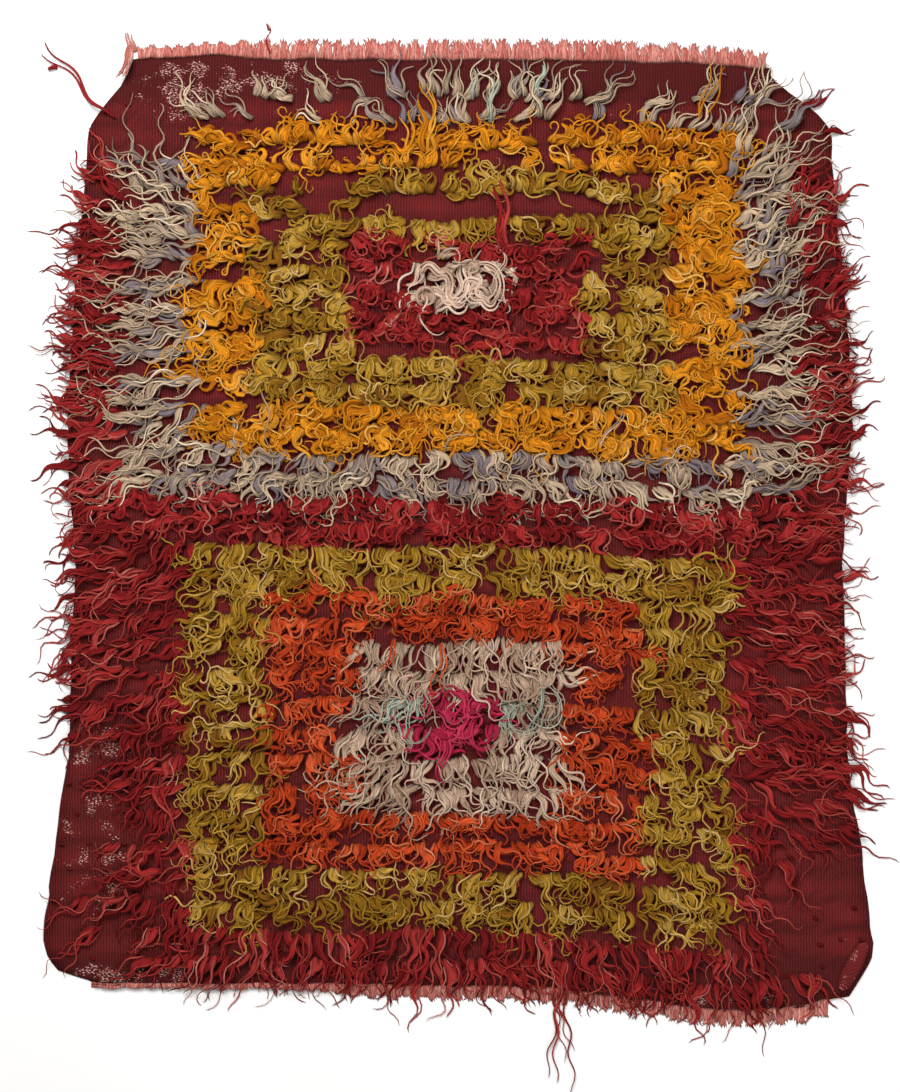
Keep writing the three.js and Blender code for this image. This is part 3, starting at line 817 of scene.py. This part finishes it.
def wool(dye):
    """Tint from the column of U, with painted shade towards both sides of the strand and at its
    root, and streaks from a noise drawn out along V: about seven across a strand, two or three along
    it."""
    material, tree, shader = new_material("hand_spun_wool_" + dye)
    at = add_node(tree, "ShaderNodeUVMap", uv_map=UV_NAME)
    split = add_node(tree, "ShaderNodeSeparateXYZ", {"Vector": at.outputs["UV"]})
    tint = add_node(tree, "ShaderNodeValToRGB", {"Fac": split.outputs["X"]})
    set_ramp(tint, DYES[dye])
    streak = add_node(tree, "ShaderNodeTexNoise", {
        "Vector": add_node(tree, "ShaderNodeMapping", {
            "Vector": at.outputs["UV"], "Scale": STREAK_CELLS}).outputs["Vector"],
        "Scale": 1.0, "Detail": 2.0})
    fibre = add_node(tree, "ShaderNodeMapRange", {
        "Value": streak.outputs["Fac"], "From Min": 0.38, "From Max": 0.62,
        "To Min": 0.5, "To Max": 1.3})
    # Painted shade: darker towards the root of each strand
    fade = add_node(tree, "ShaderNodeMapRange", {
        "Value": split.outputs["Y"], "From Max": ROOT_SHADE["reach"],
        "To Min": ROOT_SHADE["shade"], "To Max": 1.0})
    # Painted shade: darker towards both sides of each strand
    across = add_math(tree, "FRACT", add_math(tree, "MULTIPLY", split.outputs["X"], COLUMNS))
    off_middle = add_math(tree, "ABSOLUTE", add_math(tree, "SUBTRACT", across, 0.5))
    flank_shade = add_node(tree, "ShaderNodeMapRange", {
        "Value": off_middle, "From Min": FLANK_SHADE["from"], "From Max": FLANK_SHADE["to"],
        "To Min": 1.0, "To Max": FLANK_SHADE["shade"]})
    value = add_math(tree, "MULTIPLY", fibre.outputs[0], fade.outputs[0])
    value = add_math(tree, "MULTIPLY", value, flank_shade.outputs[0])
    colour = add_node(tree, "ShaderNodeHueSaturation", {
        "Color": tint.outputs["Color"], "Value": value})
    bump = add_node(tree, "ShaderNodeBump", {
        "Height": streak.outputs["Fac"], "Strength": 0.8, "Distance": 0.0014})
    tree.links.new(colour.outputs["Color"], shader.inputs["Base Color"])
    tree.links.new(bump.outputs["Normal"], shader.inputs["Normal"])
    shader.inputs["Specular IOR Level"].default_value = SHEEN["specular"]
    shader.inputs["Sheen Weight"].default_value = SHEEN["weight"]
    shader.inputs["Sheen Roughness"].default_value = SHEEN["roughness"]
    shader.inputs["Sheen Tint"].default_value = linear(DYES[dye][-1][1])
    return material


wools = {dye: wool(dye) for dye in DYES}
SLOTS = {dye: "pile_" + dye for dye in DYES} | {"beige": "pile_grey"}
print(len(wools), "dyes")

# %% [markdown]
# ## Strays
# Some strands stand out: long ones that hang past the edge, swirled bunches and rings in the pale
# tufts, and wisps that lie across the next colour. Each row of the table is a bunch of strands that
# run side by side on one path, listed under the piece that it belongs to.

# %% Single strands and bunches
STRAYS = {
    # x, y, heading in degrees, length, strands, bunch width, strand width, wave, wave length, phase,
    # curl
    "pile_red_left": [
        (-478, 612, 139, 150, 2, 2, 4.4, 0.40, 92, 0.0, 0.0),
        (-560, 686, 175, 15, 2, 4, 8.0, 0.0, 60, 0.0, 0.05),
        (-263, 702, 98, 44, 1, 0, 3.0, 0.7, 40, 0.0, 0.0),
        (-264, 737, 100, 11, 2, 3, 5.0, 0.0, 40, 0.0, 0.05),
        (-532, 292, 183, 72, 2, 6, 2.6, 0.50, 40, 1.0, 0.0),
    ],
    "pile_red_right": [
        (530, 92, 8, 72, 2, 6, 2.6, 0.50, 42, 0.0, 0.0),
    ],
    "pile_red_bottom": [
        (146, -584, -87, 178, 3, 5, 3.6, 0.45, 60, 0.5, 0.0),
        (132, -590, -80, 120, 2, 4, 3.0, 0.50, 48, 2.0, 0.0),
    ],
    "pile_red_centre": [
        (66, 420, 95, 108, 3, 9, 8.0, 0.35, 70, 0.0, 0.0),
        (60, 424, 88, 84, 2, 8, 6.0, 0.40, 62, 1.5, 0.0),
    ],
    "pile_gold": [
        (-30, 566, 92, 104, 3, 12, 5.0, 0.50, 64, 0.0, 0.0),
        (-46, 562, 98, 84, 3, 14, 6.0, 0.50, 60, 1.2, 0.0),
        (-70, 560, 88, 66, 2, 10, 6.0, 0.50, 58, 2.6, 0.0),
        (334, 600, 76, 104, 2, 4, 3.6, 0.35, 76, 0.4, 0.0),
        (342, 598, 70, 98, 1, 0, 3.6, 0.35, 70, 1.8, 0.0),
    ],
    "pile_ivory": [
        (-44, 394, -20, 60, 3, 15, 6.5, 1.10, 54, 0.0, 0.0),
        (-6, 404, 190, 58, 3, 15, 6.5, 1.10, 50, 1.0, 0.0),
        (-46, 368, 20, 56, 3, 15, 6.5, 1.20, 48, 2.0, 0.0),
        (-20, 386, -60, 58, 3, 14, 6.5, 1.10, 52, 3.0, 0.0),
        (-34, 346, 12, 54, 3, 14, 6.5, 1.10, 46, 0.5, 0.0),
        (22, 400, -70, 60, 3, 14, 6.0, 1.10, 48, 1.5, 0.0),
        (44, 384, 200, 56, 3, 14, 6.0, 1.10, 50, 2.5, 0.0),
        (14, 350, 16, 54, 3, 13, 6.0, 1.20, 44, 0.8, 0.0),
        (48, 360, 150, 50, 3, 13, 6.0, 1.10, 46, 3.5, 0.0),
        (8, 412, -104, 80, 5, 20, 5.5, 0.70, 76, 0.0, 0.0),
        (18, 406, 30, 104, 2, 5, 3.8, 0.10, 60, 0.0, -0.034),
        (26, 402, 10, 86, 2, 5, 3.6, 0.10, 60, 0.0, -0.040),
        (40, 366, 30, 84, 2, 4, 3.2, 0.60, 60, 0.0, 0.020),
        (-42, 352, 196, 80, 2, 4, 3.8, 0.0, 60, 0.0, -0.080),
        (-52, 346, 246, 58, 1, 0, 3.6, 0.3, 52, 0.0, 0.040),
    ],
    "pile_grey_upper": [
        (-276, 236, -78, 108, 1, 0, 3.4, 0.50, 70, 0.0, 0.0),
    ],
    "pile_grey_middle": [
        (-20, 140, 80, 64, 1, 0, 3.2, 0.30, 60, 0.0, -0.030),
        (190, 146, 52, 76, 2, 5, 3.0, 0.30, 60, 0.0, 0.0),
        (60, 120, -40, 70, 2, 5, 3.0, 0.60, 56, 0.0, 0.012),
    ],
    "pile_orange": [
        (-22, -118, -96, 92, 2, 6, 3.4, 0.55, 60, 0.0, 0.0),
        (-88, -112, -112, 64, 2, 6, 4.0, 0.50, 60, 0.0, 0.0),
    ],
    "pile_aqua": [
        (45, 604, 86, 66, 3, 9, 5.0, 0.40, 60, 0.0, 0.0),
        (110, 640, 84, 58, 3, 8, 5.0, 0.50, 50, 1.0, 0.0),
        (20, 638, 94, 46, 2, 6, 4.6, 0.50, 50, 2.0, 0.0),
        (104, -206, -30, 150, 2, 6, 2.6, 0.1, 60, 0.0, -0.045),
        (96, -214, -70, 120, 2, 6, 2.4, 0.2, 60, 1.0, 0.040),
        (122, -168, -116, 92, 3, 8, 2.8, 0.3, 80, 0.0, 0.0),
        (-74, -212, 215, 104, 2, 7, 2.4, 0.2, 60, 0.0, 0.040),
        (-70, -262, 80, 84, 2, 8, 2.4, 0.4, 60, 0.0, 0.010),
    ],
    "pile_magenta": [
        (-24, -186, -30, 84, 4, 10, 4.0, 1.00, 60, 0.0, 0.0),
        (26, -184, 200, 84, 4, 10, 4.0, 1.00, 56, 1.2, 0.0),
        (0, -194, -80, 84, 4, 11, 4.0, 0.80, 60, 0.0, 0.0),
        (-34, -214, -20, 72, 4, 10, 4.0, 1.00, 52, 2.0, 0.0),
        (34, -220, 190, 78, 4, 8, 4.0, 0.30, 60, 0.0, 0.045),
        (-16, -240, -96, 84, 3, 7, 4.2, 0.50, 60, 0.0, 0.0),
    ],
    "warp_ends_top": [
        (-458, 716, -108, 52, 6, 13, 4.4, 0.3, 60, 0.0, 0.0),
        (-452, 706, 108, 30, 4, 12, 3.6, 0.3, 40, 0.0, 0.0),
    ],
}
STRAY = {"steps": 22, "lift": 18.0, "arch": 16.0, "crest": 0.55, "gather": 0.8, "parting": 0.08,
         "hook": 0.2, "tint": (0.58, 0.15)}


def strays(name):
    """The strands of one piece's rows. Within a bunch each has its own seat across the path, and
    lies a little higher the nearer it is to the middle."""
    rows = STRAYS.get(name, [])
    table = np.array([bunch for bunch in rows for _ in range(bunch[4])], float).reshape(-1, 11)
    place = np.array([(k + 0.5) / bunch[4] - 0.5 for bunch in rows for k in range(bunch[4])])
    x, y, heading, length, _, bunch, width, wave, wave_length, phase, curl = table.T
    total = len(table)
    length = length * rng.uniform(0.86, 1.06, total)
    width = width * rng.uniform(0.8, 1.15, total)
    made = {"x": x, "y": y,
            "heading": np.radians(heading) + STRAY["parting"] * rng.standard_normal(total),
            "wave": wave, "phase": phase, "wave_length": wave_length, "curl": curl,
            "hook": STRAY["hook"] * rng.standard_normal(total), "seat": bunch * place}
    lift = STRAY["lift"] - STRAY["arch"] * place ** 2
    path, turn = strand_paths(made, length, lift, ROUNDNESS * width, STRAY["steps"],
                              STRAY["crest"], STRAY["gather"])
    width = width[:, None] * (1 - 0.6 * np.linspace(0, 1, STRAY["steps"]) ** 1.7)
    middle, uneven = STRAY["tint"]
    tint = np.clip(middle + uneven * rng.standard_normal(total), 0.05, 0.95)
    return tubes(path, turn, width, ROUNDNESS * width, np.zeros(turn.shape), tint, 3)


print(sum(len(rows) for rows in STRAYS.values()), "bunches that stand out")

# %% [markdown]
# ## The pile, field by field
# The knots of each field get their locks and strands, worn knots their short bars, and the strays
# of that field come on top. All of it is joined, so each field of the design is one mesh.

# %% Pile, one piece for each field of the design
pile = []
for index, (name, dye, *_, kind) in enumerate(FIELDS):
    here = {key: value[knots["field"] == index] for key, value in knots.items() if key != "field"}
    left = {key: value[stubs["field"] == index] for key, value in stubs.items() if key != "field"}
    leg = legs(here, KINDS[kind]["locks"])
    points, faces, uv = join([locks(leg, KINDS[kind]), strands(leg, KINDS[kind]),
                              knot_bars(left), strays(name)])
    pile.append(make_piece(name, points, faces, uv, wools[dye], SLOTS[dye]))

# %% [markdown]
# ## Warp fringe
# The warps run the length of the rug and are cut at both ends. Their ends have fluffed out into a
# short salmon fringe. Each end is a thin strand that starts under the edge of the cloth.

# %% Fringe
FRINGE = {"spacing": 0.8, "width": 3.3, "thick": 1.8, "steps": 6, "clump": 23.0, "under": 4,
          "scallop": 0.14, "lean": 0.16, "wave": 0.2, "lift": (0, 3.5)}


def fringe(name, nodes, edge_line, start, stop, out, lengths):
    """Strands side by side along one end, pointing out of it, as long as the table of places and
    lengths says and a little uneven."""
    total = int((stop - start) / FRINGE["spacing"])
    x = start + (np.arange(total) + rng.uniform(0, 1, total)) * FRINGE["spacing"]
    clump = 2 * np.pi * (x + 9 * np.sin(x / 31.0)) / FRINGE["clump"]
    scallop = 1 - FRINGE["scallop"] + FRINGE["scallop"] * np.cos(clump)
    scallop = scallop * rng.uniform(0.93, 1.02, total)
    length = np.interp(x, *np.array(lengths, float).T) * scallop + FRINGE["under"]
    heading = out * (np.pi / 2 + FRINGE["lean"] * np.sin(clump))
    heading = heading + 0.05 * rng.standard_normal(total)
    thick = FRINGE["thick"] * rng.uniform(0.7, 1.3, total)
    made = {"x": x, "y": edge_line(x) - out * FRINGE["under"], "heading": heading,
            "wave": np.full(total, FRINGE["wave"]), "wave_length": rng.uniform(12, 22, total),
            "phase": rng.uniform(0, 6.3, total), "curl": 0.01 * rng.standard_normal(total),
            "hook": 0.3 * rng.standard_normal(total), "seat": np.zeros(total)}
    lift = rng.uniform(*FRINGE["lift"], total)
    path, turn = strand_paths(made, length, lift, thick, FRINGE["steps"])
    s = np.linspace(0, 1, FRINGE["steps"])
    full = 1 - 0.15 * s ** 2
    width = FRINGE["width"] * rng.uniform(0.7, 1.3, total)[:, None] * full
    tint = rng.uniform(0.05, 0.95, total)
    points, faces, uv = join([tubes(path, turn, width, thick[:, None] * full,
                                    np.zeros(turn.shape), tint, 3), strays(name)])
    piece = make_piece(name, points, faces, uv, wools["salmon"], "warp_yarn")
    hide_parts(*nodes)
    return piece


fringes = [
    fringe("warp_ends_top", ["warp_fringe_top"], top_edge, -446, 430, 1,
           [(-446, 22), (-420, 18), (-320, 20), (-290, 30), (200, 32), (430, 26)]),
    fringe("warp_ends_bottom", ["warp_fringe_bottom_left", "warp_fringe_bottom_middle",
                                "warp_fringe_bottom_right"], bottom_edge, -512, 520, -1,
           [(-512, 6), (-220, 8), (-120, 20), (0, 22), (520, 26)]),
]

# %% [markdown]
# ## The turned corner
# The lower right corner is turned over on to the face. What shows is a narrow band of the back of
# the cloth along the slant, rounded at the fold: a flat tube whose path is the slant.

# %% Turned corner
CORNER = {"from": (582, -542), "to": (544, -615), "width": 24.0, "thick": 7.0, "steps": 10,
          "seat": 3.4, "roll": 0.2, "sides": 10, "worn": 0.6}
BACK_DYES = [(0.32, "#4a0b0c"), (0.5, "#5c1415"), (0.68, "#6c1e1e")]
BACK_LEAN = 1.22


def turned_corner():
    """A flat oval carried along the slant, a little inside the edge, tapered at both ends."""
    s = np.linspace(0, 1, CORNER["steps"])
    start, stop = np.array(CORNER["from"], float), np.array(CORNER["to"], float)
    run = stop - start
    inward = 0.5 * CORNER["width"] * np.array([run[1], -run[0]]) / np.hypot(*run)
    line = start + s[:, None] * run + inward
    path = np.concatenate([line, np.full((len(s), 1), WEAVE + CORNER["seat"])], 1)[None]
    turn = np.full((1, len(s)), np.arctan2(run[1], run[0]))
    full = np.sin(np.pi * np.clip(s, 0.06, 0.94))[None] ** 0.35
    roll = np.full(turn.shape, CORNER["roll"])
    points, faces, uv = join([tubes(path, turn, CORNER["width"] * full, CORNER["thick"] * full,
                                    roll, np.array([0.5]), CORNER["sides"])])
    back = weave_material("back_of_the_weave", BACK_DYES, BACK_LEAN)
    piece = make_piece("turned_corner", points, faces, uv, back, "ground_weave")
    mark(piece, "worn", np.full(len(points), CORNER["worn"]))
    return piece


corner = turned_corner()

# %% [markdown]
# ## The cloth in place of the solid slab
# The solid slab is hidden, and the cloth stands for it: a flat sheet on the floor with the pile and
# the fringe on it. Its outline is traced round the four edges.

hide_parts("pile_rug")
OUTLINE_STEPS = 200
none, all_way = np.zeros(OUTLINE_STEPS), np.ones(OUTLINE_STEPS)
there, back = np.linspace(0, 1, OUTLINE_STEPS), np.linspace(1, 0, OUTLINE_STEPS)
round_cloth = [(none, there), (there, all_way), (all_way, back), (back, none)]
outline = np.concatenate([np.stack(cloth_place(u, v), -1) for u, v in round_cloth])

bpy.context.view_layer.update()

made = [ground, *pile, *fringes, corner]
print(sum(len(p.vertices) - 2 for o in made for p in o.data.polygons), "triangles")
